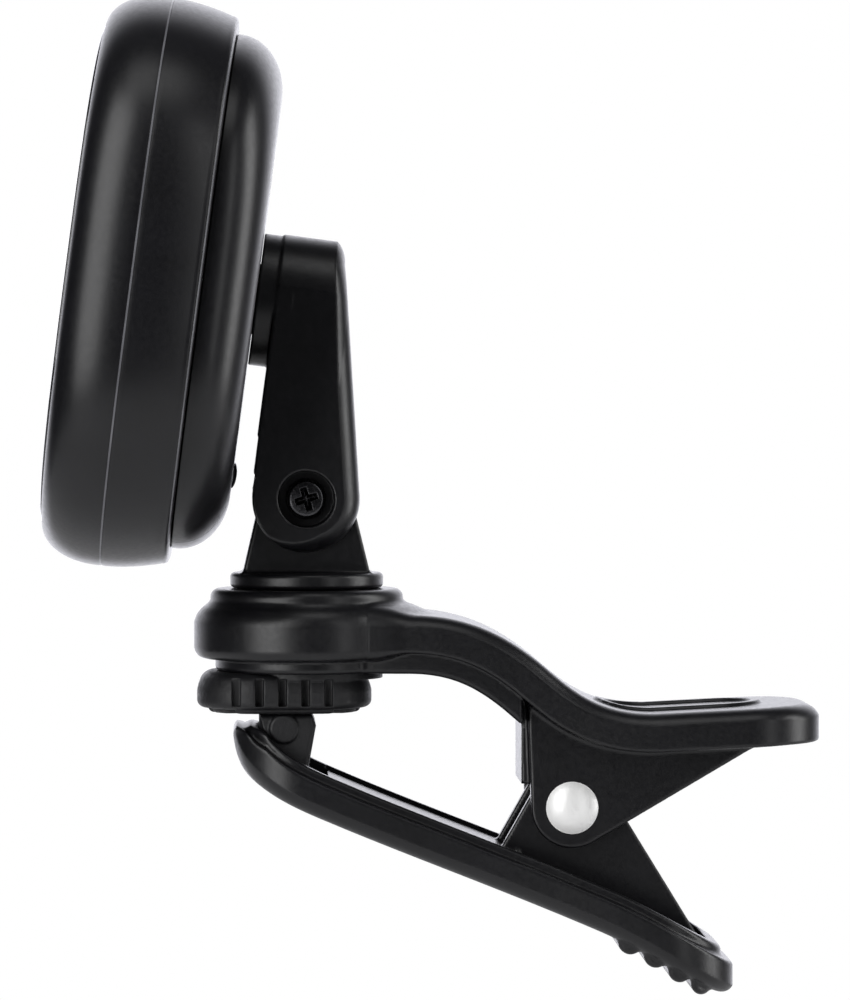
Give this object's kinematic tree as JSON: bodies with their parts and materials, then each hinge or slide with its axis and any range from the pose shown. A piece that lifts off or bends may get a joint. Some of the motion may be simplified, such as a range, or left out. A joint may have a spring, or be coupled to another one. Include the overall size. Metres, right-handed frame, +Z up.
{
  "type": "clip-on instrument tuner",
  "caption": "Clip-on instrument tuner: rounded display head on a tilting swivel arm above a turntable and a sprung, padded clip.",
  "frame": {"origin": "on the turntable's axis, level with the gripping face of the upper pad, where the headstock is held", "axes": "+Z up along the turntable's axis, -X towards the jaws' mouth and the side the display faces, Y across the clip"},
  "size_m": [0.0702, 0.057, 0.0903],
  "materials": {
    "moulded_black": "satin moulded black",
    "chrome": "polished dome",
    "spring_steel": "drawn wire",
    "pad_rubber": "matt rubber",
    "washer_steel": "plain",
    "dark_screw": "black zinc",
    "nylon": "natural nylon",
    "smoked_lens": "gloss smoked window",
    "gasket_foam": "thin foam",
    "display_glass": "gloss",
    "diffuser_white": "matt",
    "circuit_board": "solder mask",
    "chip_black": "moulded epoxy",
    "can_steel": "nickel plated",
    "switch_black": "matt",
    "brass": "plain disc",
    "plated_brass": "thin plated strip",
    "button_rubber": "silicone rubber"
  },
  "bodies": {
    "clip": {"upper_jaw": "moulded_black", "hinge_rivet": "chrome", "clip_spring": "spring_steel", "upper_pad": "pad_rubber"},
    "jaw": {"lower_jaw": "moulded_black", "lower_pad": "pad_rubber"},
    "turntable": {"swivel_base": "moulded_black", "base_washer": "washer_steel", "base_screw": "dark_screw"},
    "arm": {"tilt_arm": "moulded_black", "tilt_screw": "dark_screw", "tilt_nut": "washer_steel", "friction_washers": "nylon", "spindle_washer": "washer_steel", "spindle_screw": "dark_screw"},
    "head": {"front_bezel": "moulded_black", "middle_housing": "moulded_black", "back_cover": "moulded_black", "lens": "smoked_lens", "lens_gasket": "gasket_foam", "display_panel": "display_glass", "backlight": "diffuser_white", "circuit_board": "circuit_board", "main_chip": "chip_black", "crystal": "can_steel", "tact_switches": "switch_black", "piezo_sensor": "brass", "coin_cell": "can_steel", "contact_spring": "plated_brass", "contact_clip": "plated_brass", "housing_screws": "dark_screw"},
    "door": {"battery_door": "moulded_black"},
    "power": {"power_button": "button_rubber"},
    "pitch_down": {"pitch_down_button": "button_rubber"},
    "pitch_up": {"pitch_up_button": "button_rubber"}
  },
  "joints": [
    {"name": "jaw_open", "type": "hinge", "parent": "clip", "child": "jaw", "pos_m": [0.0238, 0, -0.0085], "axis": [0, -1, 0], "range_deg": [0, 32], "stiffness_Nm_per_rad": 0.2, "springref_deg": -57.3, "deforming": ["clip_spring"]},
    {"name": "base_turn", "type": "hinge", "parent": "clip", "child": "turntable", "pos_m": [0, 0, 0.0111], "axis": [0, 0, 1], "continuous": true},
    {"name": "arm_tilt", "type": "hinge", "parent": "turntable", "child": "arm", "pos_m": [-0.0001, 0, 0.0193], "axis": [0, -1, 0], "range_deg": [-90, 6]},
    {"name": "head_spin", "type": "hinge", "parent": "arm", "child": "head", "pos_m": [-0.0046, 0, 0.03735], "axis": [0.9914, 0, -0.1305], "continuous": true},
    {"name": "battery_door_slide", "type": "slide", "parent": "head", "child": "door", "axis": [-0.1305, 0, -0.9914], "range_m": [0, 0.003]},
    {"name": "power_press", "type": "slide", "parent": "head", "child": "power", "axis": [0.9914, 0, -0.1305], "range_m": [0, 0.0004], "stiffness_N_per_m": 300, "springref_m": -0.001},
    {"name": "pitch_down_press", "type": "slide", "parent": "head", "child": "pitch_down", "axis": [0.9914, 0, -0.1305], "range_m": [0, 0.0004], "stiffness_N_per_m": 300, "springref_m": -0.001},
    {"name": "pitch_up_press", "type": "slide", "parent": "head", "child": "pitch_up", "axis": [0.9914, 0, -0.1305], "range_m": [0, 0.0004], "stiffness_N_per_m": 300, "springref_m": -0.001}
  ]
}
